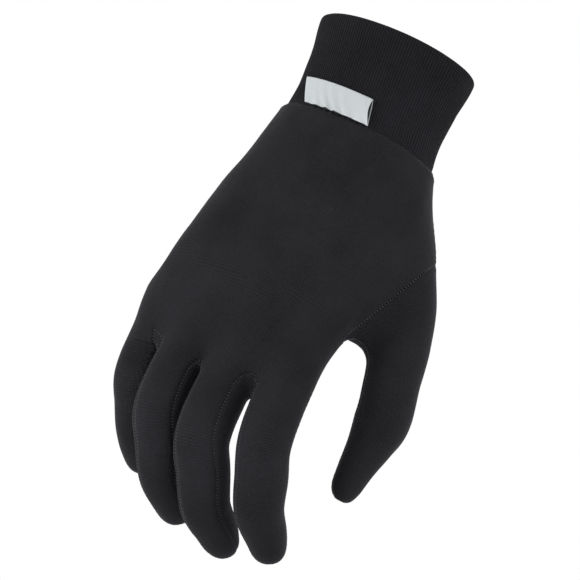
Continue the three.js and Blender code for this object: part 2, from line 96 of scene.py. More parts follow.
# Columns: along, across, lift, down, wide, deep
THUMB = np.array([
    (0.000, 0.270, 0.12, 0.100, 0.80, 0.90),
    (0.100, 0.330, 0.24, 0.200, 0.96, 1.10),
    (0.240, 0.400, 0.42, 0.360, 1.12, 1.24),
    (0.380, 0.465, 0.56, 0.500, 1.17, 1.15),
    (0.500, 0.508, 0.68, 0.620, 1.06, 1.03),
    (0.620, 0.538, 0.78, 0.750, 0.98, 0.95),
    (0.730, 0.555, 0.88, 0.870, 0.97, 0.93),
    (0.820, 0.540, 0.96, 0.970, 0.79, 0.76),
    (0.900, 0.516, 1.03, 1.070, 0.62, 0.60),
    (0.955, 0.505, 1.07, 1.135, 0.53, 0.49),
    (0.988, 0.500, 1.10, 1.175, 0.36, 0.32),
    (1.000, 0.497, 1.11, 1.190, 0.18, 0.15),
])

# Columns: across, lift, down, wide, deep
WEB = np.array([
    (0.250, 0.12, 0.36, 0.250, 0.42),
    (0.310, 0.27, 0.54, 0.200, 0.33),
    (0.345, 0.36, 0.635, 0.135, 0.22),
    (0.350, 0.40, 0.690, 0.085, 0.13),
])
THUMB_SIDE = np.array([0.78, 0.625, 0.0])
THUMB_SEAM = dict(web=(0.315, 0.34, 0.7), side=(0.585, 0.23, 0.325), slant=0.45, margin=4.0)

# Columns: up, flare, pinch
CUFF = np.array([
    (0.000, 0.00, 0.0),
    (0.300, 0.25, 1.1),
    (0.620, 0.58, 0.9),
    (0.965, 1.00, 0.0),
    (1.000, 1.00, 0.0),
])

# How the forms run into each other, in millimetres: the fillets, the gap that opens between two fingers, and
# how far each finger's root is sunk into the palm.
PALM_BLEND, THUMB_BLEND, ROOT_BLEND, FINGER_BLEND = 5.0, 6.5, 6.0, 0.6
FINGER_GAP, GAP_ROUND = 0.75, 1.2
ROOT_SINK = (1.5, 1.5, 1.5, 5.0)

# For each crotch: where it starts to open and is fully open, and where the seam arches over it, as shares of
# the fingers beside it.
CROTCHES = [(0.08, 0.2, 0.24), (0.15, 0.27, 0.265), (0.0, 0.11, 0.1)]
ARCH_LENGTH = 11.0

# The grid's step, the value far from every sweep, and how many points are measured at a time
CELL = 0.85
FAR = 40.0
BATCH = 200000

# How many sections each sweep has, and how many points a curve has while its length is measured
PALM_STEPS, FINGER_STEPS, THUMB_STEPS, WEB_STEPS, CURVE_STEPS = 130, 160, 180, 60, 200

# How far below the wrist seam the stitches start, and their spacing
WRIST_MARGIN, STITCH_SPACING = 3, 1.4

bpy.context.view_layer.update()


# Curves and sections

def unit(v):
    return v / np.maximum(np.linalg.norm(v, axis=-1, keepdims=True), 1e-9)


def sampled(at, run, columns):
    """Three columns of values read at places along a line."""
    return np.stack([np.interp(at, run, columns[:, k]) for k in range(3)], 1)


def curve_through(points, count):
    """A smooth curve through the points: places at equal steps, directions and length."""
    points = np.asarray(points, float)
    ends = np.vstack([2 * points[0] - points[1], points, 2 * points[-1] - points[-2]])
    dense = []
    for i in range(1, len(ends) - 2):
        p0, p1, p2, p3 = ends[i - 1:i + 3]
        d0, d1, d2 = (np.linalg.norm(b - a) ** 0.5 for a, b in ((p0, p1), (p1, p2), (p2, p3)))
        t1 = ((p1 - p0) / d0 - (p2 - p0) / (d0 + d1) + (p2 - p1) / d1) * d1
        t2 = ((p2 - p1) / d1 - (p3 - p1) / (d1 + d2) + (p3 - p2) / d2) * d1
        s = np.linspace(0, 1, 80, endpoint=False)[:, None]
        dense.append(p1 + t1 * s + (3 * (p2 - p1) - 2 * t1 - t2) * s**2 + (2 * (p1 - p2) + t1 + t2) * s**3)
    dense = np.vstack(dense + [points[-1:]])
    run = np.concatenate([[0], np.cumsum(np.linalg.norm(np.diff(dense, axis=0), axis=1))])
    at = np.linspace(0, run[-1], count)
    place = sampled(at, run, dense)
    return place, unit(np.gradient(place, axis=0)), run[-1]


def eased(at, knots, values):
    """A smooth curve through a table's column that never swings past its rows."""
    step = np.diff(knots)
    slope = np.diff(values) / step
    both = slope[:-1] * slope[1:]
    level = np.where(both > 0, 2 * both / np.where(both > 0, slope[:-1] + slope[1:], 1), 0)
    m = np.concatenate([[slope[0]], level, [slope[-1]]])
    at = np.clip(at, knots[0], knots[-1])
    k = np.clip(np.searchsorted(knots, at, side="right") - 1, 0, len(step) - 1)
    s = (at - knots[k]) / step[k]
    return ((2 * s**3 - 3 * s**2 + 1) * values[k] + (s**3 - 2 * s**2 + s) * step[k] * m[k]
            + (3 * s**2 - 2 * s**3) * values[k + 1] + (s**3 - s**2) * step[k] * m[k + 1])


def smoothstep(low, high, x):
    s = np.clip((x - low) / (high - low), 0, 1)
    return s * s * (3 - 2 * s)


def mix(a, b, s):
    return a + (b - a) * s


def turned(v, axis, degrees):
    return np.array(Matrix.Rotation(math.radians(degrees), 3, Vector(axis)) @ Vector(v))


class Sweep:
    """A row of superellipse sections along a line. level: the sections lie in planes of their own, as the
    palm's do, and not across the line."""

    def __init__(self, centre, side, rise, ahead, wide, deep, power, share, long, level=False):
        self.level = level
        self.long = long
        self.centre, self.ahead = centre, ahead
        step = np.gradient(centre, axis=0)
        self.spacing = np.maximum((step * ahead).sum(1), 1e-6)
        self.table = np.column_stack([centre, side, rise, wide, deep, np.full(len(centre), power)
                                      if np.isscalar(power) else power, share])
        reach = max(wide.max(), deep.max()) + 12
        self.low, self.high = centre.min(0) - reach, centre.max(0) + reach

    def measure(self, points):
        """Rows of: distance from the skin, across, up, half width, half depth and share along."""
        out = np.empty((len(points), 6), np.float32)
        away = (self.centre * self.ahead).sum(1)
        square = (self.centre ** 2).sum(1)
        last = len(self.centre) - 1
        for start in range(0, len(points), BATCH):
            p = points[start:start + BATCH]
            if self.level:
                nearest = np.abs(p @ self.ahead.T - away).argmin(1)
            else:
                nearest = (square - 2 * p @ self.centre.T).argmin(1)
            s = ((p - self.centre[nearest]) * self.ahead[nearest]).sum(1) / self.spacing[nearest]
            f = nearest + s
            low = np.clip(np.floor(f), 0, last - 1).astype(int)
            w = np.clip(f - low, 0, 1)[:, None]
            row = self.table[low] * (1 - w) + self.table[low + 1] * w
            away_from = p - row[:, 0:3]
            x = (away_from * row[:, 3:6]).sum(1)
            y = (away_from * row[:, 6:9]).sum(1)
            a, b, q = row[:, 9], row[:, 10], row[:, 11]
            rho = ((np.abs(x) / a) ** q + (np.abs(y) / b) ** q + 1e-12) ** (1 / q)
            flat = np.hypot(x, y) * (1 - 1 / rho)
            flat = np.where(rho < 0.05, -np.minimum(a, b), flat)
            past = np.maximum(f - last, -f) * self.spacing[nearest]
            out[start:start + BATCH] = np.column_stack([np.maximum(flat, past), x, y, a, b, row[:, 12]])
        return out


def palm_point(across, lift, down):
    """A point given by shares of the palm's width, depth and length."""
    return np.array([across * PALM_WIDTH, lift * PALM_DEPTH, -down * PALM_LENGTH])


def palm_sweep():
    share = np.linspace(-0.06, 1.0, PALM_STEPS)
    column = {name: eased(share, PALM[:, 0], PALM[:, k])
              for k, name in enumerate(("along", "hand", "wide", "deep", "shift", "lift", "tilt"))}
    tilt = np.radians(WRIST_TILT + column["tilt"])
    zero = np.zeros_like(share)
    centre = np.column_stack([column["shift"] * PALM_WIDTH, column["lift"] * PALM_DEPTH, -share * PALM_LENGTH])
    return Sweep(
        centre,
        np.column_stack([np.cos(tilt), zero, np.sin(tilt)]),
        np.column_stack([zero, zero + 1, zero]),
        np.column_stack([np.sin(tilt), zero, -np.cos(tilt)]),
        mix(WRIST_WIDTH, PALM_WIDTH, column["hand"]) * column["wide"] / 2,
        mix(WRIST_DEPTH, PALM_DEPTH, column["hand"]) * column["deep"] / 2,
        mix(2.0, PALM_POWER, column["hand"]),
        share,
        PALM_LENGTH,
        level=True,
    )


def along_curve(points, side, count, wide, deep, power):
    centre, ahead, long = curve_through(points, count)
    level = unit(side - (ahead @ side)[:, None] * ahead)
    return Sweep(centre, level, np.cross(level, ahead), ahead, wide, deep, power,
                 np.linspace(0, 1, count), long)


def finger_sweep(finger):
    forward, side, back = np.array([0, 0, -1.0]), np.array([1.0, 0, 0]), np.array([0, -1.0, 0])
    point = palm_point(finger["across"], finger["lift"], finger["along"])
    joints = [point]
    for share, sway, bend in zip(BONES, (finger["lean"], *finger["sway"]), finger["bend"]):
        forward, side = turned(forward, back, sway), turned(side, back, sway)
        forward, back = turned(forward, side, bend), turned(back, side, bend)
        step = forward * share * finger["long"]
        joints += [point + step / 2, point + step]
        point = point + step
    whole = curve_through(joints[::2], CURVE_STEPS)[2]
    joints = np.array(joints)
    joints = joints[0] + (joints - joints[0]) * whole / curve_through(joints, CURVE_STEPS)[2]
    at = np.linspace(0, 1, FINGER_STEPS)
    wide = eased(at, FINGER[:, 0], FINGER[:, 1]) * finger["wide"] / 2
    deep = eased(at, FINGER[:, 0], FINGER[:, 2]) * finger["wide"] * FINGER_FLATNESS / 2
    return along_curve(joints, side, FINGER_STEPS, wide, deep, FINGER_POWER)


def thumb_sweep():
    points = np.array([palm_point(*row[1:4]) for row in THUMB])
    points = points[0] + (points - points[0]) * THUMB_LENGTH / curve_through(points, CURVE_STEPS)[2]
    at = np.linspace(0, 1, THUMB_STEPS)
    wide = eased(at, THUMB[:, 0], THUMB[:, 4]) * THUMB_WIDTH / 2
    deep = eased(at, THUMB[:, 0], THUMB[:, 5]) * THUMB_WIDTH / 2
    return along_curve(points, unit(THUMB_SIDE), THUMB_STEPS, wide, deep, 2.0)


def web_sweep():
    at = np.linspace(0, 1, WEB_STEPS)
    rows = np.linspace(0, 1, len(WEB))
    across, lift, down, wide, deep = (eased(at, rows, WEB[:, k]) for k in range(5))
    centre = palm_point(across, lift, down).T
    side = np.tile(unit(THUMB_SIDE), (len(at), 1))
    ahead = np.tile([0.0, 0.0, -1.0], (len(at), 1))
    return Sweep(centre, side, np.cross(side, ahead), ahead, wide * PALM_WIDTH, deep * PALM_DEPTH, 2.0,
                 at, 42.0, level=True)


palm, fingers, thumb, web = palm_sweep(), [finger_sweep(f) for f in FINGERS], thumb_sweep(), web_sweep()


# The hand as one skin

def blend(a, b, k):
    """The union of two fields with a fillet of size k."""
    h = np.maximum(k - np.abs(a - b), 0) / k
    return np.minimum(a, b) - h * h * k / 4


def hand_field(measured):
    """The hand's field from the measures of the palm, the fingers, the thumb and the web."""
    sunk = [m[0] + sink * (1 - smoothstep(0, 0.16, m[1])) for m, sink in zip(measured[1:5], ROOT_SINK)]
    d = sunk[0]
    for k, (start, end, _) in enumerate(CROTCHES):
        apart = smoothstep(start, end, np.minimum(measured[k + 1][1], measured[k + 2][1]))
        d = blend(d, sunk[k + 1], mix(ROOT_BLEND, FINGER_BLEND, apart))
        gap = mix(-6, FINGER_GAP, apart) - np.abs(sunk[k] - sunk[k + 1]) / 2
        d = -blend(-d, -gap, GAP_ROUND)
    d = blend(measured[0][0], d, PALM_BLEND)
    inner = blend(measured[5][0], measured[6][0], THUMB_BLEND)
    return blend(d, inner, THUMB_BLEND)


SWEEPS = [palm, *fingers, thumb, web]


def grid_measure(sweep, axes):
    """Distance and share on the grid, far outside the sweep's own box."""
    shape = tuple(len(a) for a in axes)
    distance = np.full(shape, FAR, np.float32)
    share = np.zeros(shape, np.float32)
    span = [slice(*np.searchsorted(a, (lo, hi))) for a, lo, hi in zip(axes, sweep.low, sweep.high)]
    inside = [a[s] for a, s in zip(axes, span)]
    points = np.stack(np.meshgrid(*inside, indexing="ij"), -1).reshape(-1, 3)
    rows = sweep.measure(points)
    size = tuple(len(a) for a in inside)
    distance[tuple(span)] = rows[:, 0].reshape(size)
    share[tuple(span)] = rows[:, 5].reshape(size)
    return distance, share


def skin():
    """The hand's skin as quads: a net of points in the grid's cells, drawn on to the field's zero."""
    low = np.array([-66.0, -28.0, -184.0])
    high = np.array([70.0, 60.0, 6.0])
    axes = [np.arange(low[k], high[k], CELL) for k in range(3)]
    field = hand_field([grid_measure(sweep, axes) for sweep in SWEEPS])
    shape = np.array(field.shape)
    sign = field < 0
    corners = [(i, j, k) for i in (0, 1) for j in (0, 1) for k in (0, 1)]

    def part(array, corner):
        return array[tuple(slice(c, n - 1 + c) for c, n in zip(corner, shape))]

    count = sum(part(sign, c).astype(np.int8) for c in corners)
    cells = np.argwhere((count > 0) & (count < 8))
    number = np.full(tuple(shape - 1), -1, np.int32)
    number[tuple(cells.T)] = np.arange(len(cells))
    total, hits = np.zeros((len(cells), 3)), np.zeros(len(cells))
    for corner in corners:
        for axis in range(3):
            if corner[axis]:
                continue
            other = list(corner)
            other[axis] = 1
            a = field[tuple((cells + corner).T)]
            b = field[tuple((cells + other).T)]
            cross = (a < 0) != (b < 0)
            s = np.where(cross, a / np.where(cross, a - b, 1), 0)
            place = np.tile(np.array(corner, float), (len(cells), 1))
            place[:, axis] = s
            total += place * cross[:, None]
            hits += cross
    points = low + (cells + total / hits[:, None]) * CELL
    quads = []
    for axis in range(3):
        a = sign[tuple(slice(0, -1) if k == axis else slice(1, -1) for k in range(3))]
        b = sign[tuple(slice(1, None) if k == axis else slice(1, -1) for k in range(3))]
        where = np.argwhere(a != b)
        out = a[tuple(where.T)]
        where = where + [0 if k == axis else 1 for k in range(3)]
        u, v = [(1, 2), (2, 0), (0, 1)][axis]
        step_u, step_v = np.eye(3, dtype=int)[u], np.eye(3, dtype=int)[v]
        ring = [where - step_u - step_v, where - step_v, where, where - step_u]
        quad = np.stack([number[tuple(r.T)] for r in ring], 1)
        quad[~out] = quad[~out][:, ::-1]
        quads.append(quad)
    quads = np.vstack(quads)
    quads = quads[(quads >= 0).all(1)]
    return relaxed(points, quads, field, low), quads


def relaxed(points, quads, field, low):
    """Points evened out along the skin, each step followed by a pull back on to the field's zero."""
    a = np.concatenate([quads[:, k] for k in range(4)])
    b = np.concatenate([quads[:, (k + 1) % 4] for k in range(4)])
    ends, others = np.concatenate([a, b]), np.concatenate([b, a])
    many = np.bincount(ends, minlength=len(points))[:, None]
    slope = np.stack(np.gradient(field, CELL), -1)
    edge = np.array(field.shape) - 2

    def sample(array, where):
        f = np.clip((where - low) / CELL, 0, edge)
        i = f.astype(int)
        w = f - i
        value = 0
        for c in ((x, y, z) for x in (0, 1) for y in (0, 1) for z in (0, 1)):
            weight = np.prod(np.where(c, w, 1 - w), axis=1)
            value = value + array[tuple((i + c).T)] * (weight[:, None] if array.ndim == 4 else weight)
        return value

    for _ in range(4):
        mean = np.stack([np.bincount(ends, points[others, k], len(points)) for k in range(3)], 1) / many
        points = mix(points, mean, 0.6)
        for _ in range(2):
            g = sample(slope, points)
            points = points - (sample(field, points) / np.maximum((g * g).sum(1), 0.1))[:, None] * g
    return points


def face_normals(points, faces):
    return np.cross(points[faces[:, 1]] - points[faces[:, 0]], points[faces[:, 2]] - points[faces[:, 0]])


def point_normals(points, faces):
    each = face_normals(points, faces)
    total = np.stack([
        sum(np.bincount(faces[:, k], each[:, axis], len(points)) for k in range(3)) for axis in range(3)
    ], 1)
    return unit(total)


def triangles(points, quads):
    """Each quad cut along its shorter diagonal."""
    a, b, c, d = (points[quads[:, k]] for k in range(4))
    short = np.linalg.norm(a - c, axis=1) <= np.linalg.norm(b - d, axis=1)
    one = np.where(short[:, None], quads[:, [0, 1, 2]], quads[:, [0, 1, 3]])
    two = np.where(short[:, None], quads[:, [0, 2, 3]], quads[:, [1, 2, 3]])
    return np.vstack([one, two])


def directed_edges(faces):
    return np.vstack([faces[:, [0, 1]], faces[:, [1, 2]], faces[:, [2, 0]]])


def cut(rows, faces, column):
    """The triangles cut along the zero of one column of their points' rows. Points that nearly lie on the
    line are moved on to it. Gives the rows, the faces and each face's side, 1 or -1."""
    rows = rows.copy()
    edges = np.unique(np.sort(directed_edges(faces), axis=1), axis=0)
    level = rows[:, column]
    a, b = edges.T
    cross = level[a] * level[b] < 0
    a, b = a[cross], b[cross]
    s = level[a] / (level[a] - level[b])
    near = np.concatenate([s, 1 - s])
    point = np.concatenate([a, b])
    line = np.tile(rows[a] * (1 - s)[:, None] + rows[b] * s[:, None], (2, 1))
    order = np.argsort(-near)
    order = order[near[order] < 0.25]
    rows[point[order]] = line[order]
    rows[point[order], column] = 0
    level = rows[:, column]
    sign = np.sign(level).astype(int)
    a, b = edges.T
    cross = sign[a] * sign[b] < 0
    a, b = a[cross], b[cross]
    s = (level[a] / (level[a] - level[b]))[:, None]
    fresh = rows[a] * (1 - s) + rows[b] * s
    fresh[:, column] = 0
    new = len(rows) + np.arange(len(a))
    keys = a.astype(np.int64) * len(rows) + b
    rows_all = np.vstack([rows, fresh])

    def middle(p, q):
        key = np.minimum(p, q).astype(np.int64) * len(rows) + np.maximum(p, q)
        return new[np.searchsorted(keys, key)]

    corner = sign[faces]
    crossing = [(corner[:, k] * corner[:, (k + 1) % 3]) < 0 for k in range(3)]
    many = sum(c.astype(int) for c in crossing)
    whole = faces[many == 0]
    side = [np.where(sign[whole].sum(1) >= 0, 1, -1)]
    made = [whole]
    for k in range(3):
        i, j, l = faces[:, k], faces[:, (k + 1) % 3], faces[:, (k + 2) % 3]
        pick = (many == 1) & (sign[i] == 0)
        z, p, q = i[pick], j[pick], l[pick]
        m = middle(p, q)
        made += [np.stack([z, p, m], 1), np.stack([z, m, q], 1)]
        side += [sign[p], sign[q]]
        pick = (many == 2) & crossing[k] & crossing[(k + 2) % 3]
        z, p, q = i[pick], j[pick], l[pick]
        mp, mq = middle(z, p), middle(z, q)
        made += [np.stack([z, mp, mq], 1), np.stack([mp, p, q], 1), np.stack([mp, q, mq], 1)]
        side += [sign[z], sign[p], sign[p]]
    return rows_all, np.vstack(made), np.concatenate(side)


# Seam lines and knit directions on the skin

(X, Y, Z, NX, NY, NZ, WRIST, THUMB_LINE, STRIP_0, STRIP_1, STRIP_2, SIDE_LINE, THUMB_EDGE,
 U_BACK, U_PALM, V_HAND, U_THUMB, V_THUMB, U_STRIP, STRETCH_AND_SHEEN) = range(20)


def around(x, y, a, b, start):
    """Length round a section from the middle of one of its faces: start is -1 for the back, 1 for the palm."""
    return np.arctan2(x / a, start * y / b) * (a + b) / 2


def skin_rows(points, faces):
    measured = [sweep.measure(points) for sweep in SWEEPS]
    near = np.stack([m[:, 0] for m in measured], 1)
    rows = np.zeros((len(points), STRETCH_AND_SHEEN + 1))
    rows[:, :3] = points
    rows[:, 3:6] = point_normals(points, faces)
    tilt = math.radians(WRIST_TILT)
    rows[:, WRIST] = -(points @ [-math.sin(tilt), 0, math.cos(tilt)])
    web_edge, side_edge = palm_point(*THUMB_SEAM["web"]), palm_point(*THUMB_SEAM["side"])
    line = unit(side_edge - web_edge)
    out = np.array([line[2], THUMB_SEAM["slant"], -line[0]])
    out = unit(out - (out @ line) * line)
    inside = THUMB_SEAM["margin"] - np.minimum(near[:, 5], near[:, 6])
    rows[:, THUMB_LINE] = np.minimum((points - web_edge) @ out, inside)

    closest = near[:, 1:5].min(1)
    for k, (_, _, start) in enumerate(CROTCHES):
        strips = []
        for finger, side in ((k, -1), (k + 1, 1)):
            d, x, y, a, b, share = measured[1 + finger].T
            arch = np.clip((share - start) * FINGERS[finger]["long"] / ARCH_LENGTH, 0, 1)
            height = eased(share, FINGER[:, 0], FINGER[:, 3]) * np.sqrt(1 - (1 - arch) ** 2)
            height = np.where(share > start, height * b * FOURCHETTE_HEIGHT, (share - start) * 60)
            strip = np.minimum(height - np.abs(y), side * x - 0.1 * a)
            strips.append(np.minimum(strip, (1.2 - (d - closest)) * 2))
        rows[:, STRIP_0 + k] = np.maximum(*strips)

    share_of = np.exp(-(near[:, :5] - near[:, :5].min(1)[:, None]) / 2.0)
    share_of /= share_of.sum(1)[:, None]
    soft = np.exp(-(near[:, :5] - near[:, :5].min(1)[:, None]) / 6.0)
    soft /= soft.sum(1)[:, None]
    knuckle = [sweep.centre[len(sweep.centre) // 6] for sweep in fingers]
    for k in range(5):
        _, x, y, a, b, share = measured[k].T
        w = share_of[:, k]
        height = SIDE_SEAM_HEIGHT + (THUMB_SIDE_LOWER * smoothstep(0, 0.5, x / a) if k < 2 else 0)
        rows[:, SIDE_LINE] += w * (y - b * height)
        across = knuckle[k - 1][0] if k else 0
        down = -fingers[k - 1].centre[0, 2] if k else 0
        rows[:, U_BACK] += soft[:, k] * (around(x, y, a, b, -1) + across)
        rows[:, U_PALM] += soft[:, k] * (around(x, y, a, b, 1) + across)
        rows[:, V_HAND] += soft[:, k] * (share * SWEEPS[k].long + down)
        if k:
            # Lighter on the back of each finger's middle joint: partly the stretched knit, partly painted
            # sheen where the bent finger turns away.
            stretch_and_sheen_at_bend = np.exp(-((share - 0.62) / 0.12) ** 2) * smoothstep(b * 0.5, -b * 0.6, y)
            rows[:, STRETCH_AND_SHEEN] += w * stretch_and_sheen_at_bend
    _, x, y, a, b, share = measured[5].T
    rows[:, U_THUMB] = np.arctan2(y / b, x / a) * (a + b) / 2
    rows[:, V_THUMB] = share * thumb.long
    rows[:, THUMB_EDGE] = np.where(x < 0, y, np.sign(y) * 30)
    strip_y = np.stack([m[:, 2] for m in measured[1:5]], 1)
    rows[:, U_STRIP] = strip_y[np.arange(len(points)), near[:, 1:5].argmin(1)]
    return rows


def wobble(points, size, seed):
    """A smooth random value from -1 to 1 over the points, with bumps of about that size."""
    source = np.random.default_rng(seed)
    value = 0
    for _ in range(7):
        way = unit(source.normal(size=3))
        length = size * source.uniform(0.7, 1.5)
        value = value + np.sin(points @ way * 2 * math.pi / length + source.uniform(0, 6.3))
    return value / 4


def seam_relief(distance, run):
    """Height of the cloth beside a seam: a groove at the stitches and a low roll that they gather."""
    gather = 1 + 0.5 * np.sin(2 * math.pi * run / 2.7)
    roll = 0.1 * np.exp(-((distance - 1.4) / 0.9) ** 2) * gather
    return roll - 0.3 * np.exp(-(distance / 0.6) ** 2)


def boundary_loops(faces):
    """The open edges of a mesh as loops of points in order."""
    directed = directed_edges(faces)
    size = int(faces.max()) + 1
    key = directed[:, 0].astype(np.int64) * size + directed[:, 1]
    back = directed[:, 1].astype(np.int64) * size + directed[:, 0]
    rim = directed[~np.isin(key, back)]
    after = {}
    for p, q in rim.tolist():
        after.setdefault(p, []).append(q)
    loops = []
    while after:
        start = next(iter(after))
        loop, here = [], start
        while here in after:
            loop.append(here)
            following = after[here].pop()
            if not after[here]:
                del after[here]
            here = following
        loops.append(loop)
    return rim, loops


def panel(rows, faces, shrink=0.12):
    """One cut of cloth: its outer and inner faces and its rim, drawn in a little from its seams."""
    used = np.unique(faces)
    number = np.full(len(rows), -1)
    number[used] = np.arange(len(used))
    rows, faces = rows[used].copy(), number[faces]
    rim, loops = boundary_loops(faces)
    points, normals = rows[:, :3], rows[:, 3:6]
    directed = directed_edges(faces)
    pull = np.stack([
        np.bincount(directed[:, 0], (points[directed[:, 1]] - points[directed[:, 0]])[:, k], len(points))
        for k in range(3)
    ], 1)
    pull -= (pull * normals).sum(1)[:, None] * normals
    edge = np.unique(rim)
    points[edge] += unit(pull[edge]) * shrink
    outer = len(points)
    everything = np.vstack([points, points - normals * KNIT_THICK])
    walls = np.vstack([
        np.stack([rim[:, 1], rim[:, 0], rim[:, 0] + outer], 1),
        np.stack([rim[:, 1], rim[:, 0] + outer, rim[:, 1] + outer], 1),
    ])
    solid = np.vstack([faces, faces[:, ::-1] + outer, walls])
    return rows, faces, everything, solid, loops


def build_mesh(name, points, faces, uv=None, tone=None, uv_name="Knit"):
    """A smooth-shaded mesh object from points in millimetres."""
    mesh = bpy.data.meshes.new(name)
    mesh.vertices.add(len(points))
    mesh.vertices.foreach_set("co", (np.asarray(points) * MM).astype(np.float32).ravel())
    faces = np.asarray(faces)
    size = faces.shape[1]
    mesh.loops.add(len(faces) * size)
    mesh.loops.foreach_set("vertex_index", faces.astype(np.int32).ravel())
    mesh.polygons.add(len(faces))
    mesh.polygons.foreach_set("loop_start", np.arange(0, len(faces) * size, size, dtype=np.int32))
    mesh.update(calc_edges=True)
    mesh.validate()
    mesh.shade_smooth()
    if uv is not None:
        layer = mesh.uv_layers.new(name=uv_name)
        index = np.empty(len(mesh.loops), np.int32)
        mesh.loops.foreach_get("vertex_index", index)
        layer.data.foreach_set("uv", np.asarray(uv, np.float32)[index].ravel())
    if tone is not None:
        layer = mesh.color_attributes.new("Tone", "FLOAT_COLOR", "POINT")
        value = np.repeat(np.asarray(tone, np.float32)[:, None], 4, axis=1)
        layer.data.foreach_set("color", value.ravel())
    piece = bpy.data.objects.new(name, mesh)
    bpy.context.scene.collection.objects.link(piece)
    return piece


def stitches(name, places, ways, normals, long, thick, lift):
    """Short stitches lying on the cloth: a bent bead of thread at each place, along its way."""
    side = np.cross(normals, ways)
    rings, sides = np.array([-1.0, -0.55, 0.0, 0.55, 1.0]), 6
    wide = np.array([0.25, 0.9, 1.0, 0.9, 0.25]) * thick / 2
    high = lift + np.array([-0.12, 0.02, 0.08, 0.02, -0.12]) * thick * 3
    angle = np.arange(sides) * 2 * math.pi / sides
    points = []
    for s, w, h in zip(rings, wide, high):
        middle = places + ways * s * long / 2 + normals * h
        for a in angle:
            points.append(middle + side * math.cos(a) * w + normals * math.sin(a) * w)
    points = np.stack(points, 1)
    each = len(rings) * sides
    faces = []
    for r in range(len(rings) - 1):
        for k in range(sides):
            n = (k + 1) % sides
            faces.append((r * sides + k, r * sides + n, (r + 1) * sides + n, (r + 1) * sides + k))
    faces = np.array(faces)
    caps = [(0, 3, 2, 1), (0, 5, 4, 3)]
    top = (len(rings) - 1) * sides
    caps += [(top, top + 1, top + 2, top + 3), (top, top + 3, top + 4, top + 5)]
    faces = np.vstack([faces, caps])
    all_faces = (faces[None] + np.arange(len(places))[:, None, None] * each).reshape(-1, 4)
    return build_mesh(name, points.reshape(-1, 3), all_faces)


def spaced(line, normals, spacing, keep):
    """Places at equal steps along a closed or open line, with the directions along it and the normals."""
    step = np.linalg.norm(np.diff(line, axis=0), axis=1)
    run = np.concatenate([[0], np.cumsum(step)])
    at = np.arange(spacing / 2, run[-1], spacing)
    place = sampled(at, run, line)
    normal = unit(sampled(at, run, normals))
    ahead = sampled(at + 0.6, run, line) - sampled(at - 0.6, run, line)
    ahead = unit(ahead - (ahead * normal).sum(1)[:, None] * normal)
    if keep is not None:
        wanted = np.interp(at, run, keep) > 0.5
        place, ahead, normal = place[wanted], ahead[wanted], normal[wanted]
    return place, ahead, normal


# Materials

class Graph:
    """A new material's nodes, with the steps that the materials share."""

    def __init__(self, name):
        self.material = bpy.data.materials.new(name)
        self.material.use_nodes = True
        self.tree = self.material.node_tree
        self.shader = self.tree.nodes["Principled BSDF"]

    def add(self, kind, **values):
        node = self.tree.nodes.new(kind)
        for key, value in values.items():
            if key in node.inputs:
                node.inputs[key].default_value = value
            else:
                setattr(node, key, value)
        return node

    def link(self, a, b):
        self.tree.links.new(a, b)

    def math(self, operation, a, b=None):
        node = self.add("ShaderNodeMath", operation=operation)
        for socket, value in zip(node.inputs, (a, b)):
            if isinstance(value, (int, float)):
                socket.default_value = value
            elif value is not None:
                self.link(value, socket)
        return node.outputs[0]

    def noise(self, **values):
        node = self.add("ShaderNodeTexNoise", **values)
        self.link(self.add("ShaderNodeTexCoord").outputs["Object"], node.inputs["Vector"])
        return node.outputs["Fac"]

    def flat_place(self, layer):
        """Both coordinates of a UV layer, in millimetres."""
        split = self.add("ShaderNodeSeparateXYZ")
        self.link(self.add("ShaderNodeUVMap", uv_map=layer).outputs[0], split.inputs[0])
        return split.outputs[0], split.outputs[1]

    def ramp(self, value, dark, light, start=0.0, end=1.0):
        """A colour from dark at the start to light at the end."""
        node = self.add("ShaderNodeValToRGB")
        for element, place, colour in zip(node.color_ramp.elements, (start, end), (dark, light)):
            element.position, element.color = place, (*colour, 1)
        self.link(value, node.inputs[0])
        return node.outputs[0]

    def toned(self, colour):
        """A colour times the mesh's Tone attribute, which carries painted shade, painted sheen and the lighter
        stretched knit.
        """
        shade = self.add("ShaderNodeMix", data_type="RGBA", blend_type="MULTIPLY")
        shade.inputs[0].default_value = 1.0
        self.link(colour, shade.inputs[6])
        self.link(self.add("ShaderNodeVertexColor", layer_name="Tone").outputs["Color"], shade.inputs[7])
        return shade.outputs[2]

    def bump(self, height, strength, depth):
        node = self.add("ShaderNodeBump", Strength=strength, Distance=depth * MM)
        self.link(height, node.inputs["Height"])
        self.link(node.outputs[0], self.shader.inputs["Normal"])

    def surface(self, colour, values):
        """The shader's colour and other values."""
        self.link(colour, self.shader.inputs["Base Color"])
        for key, value in values.items():
            self.shader.inputs[key].default_value = value


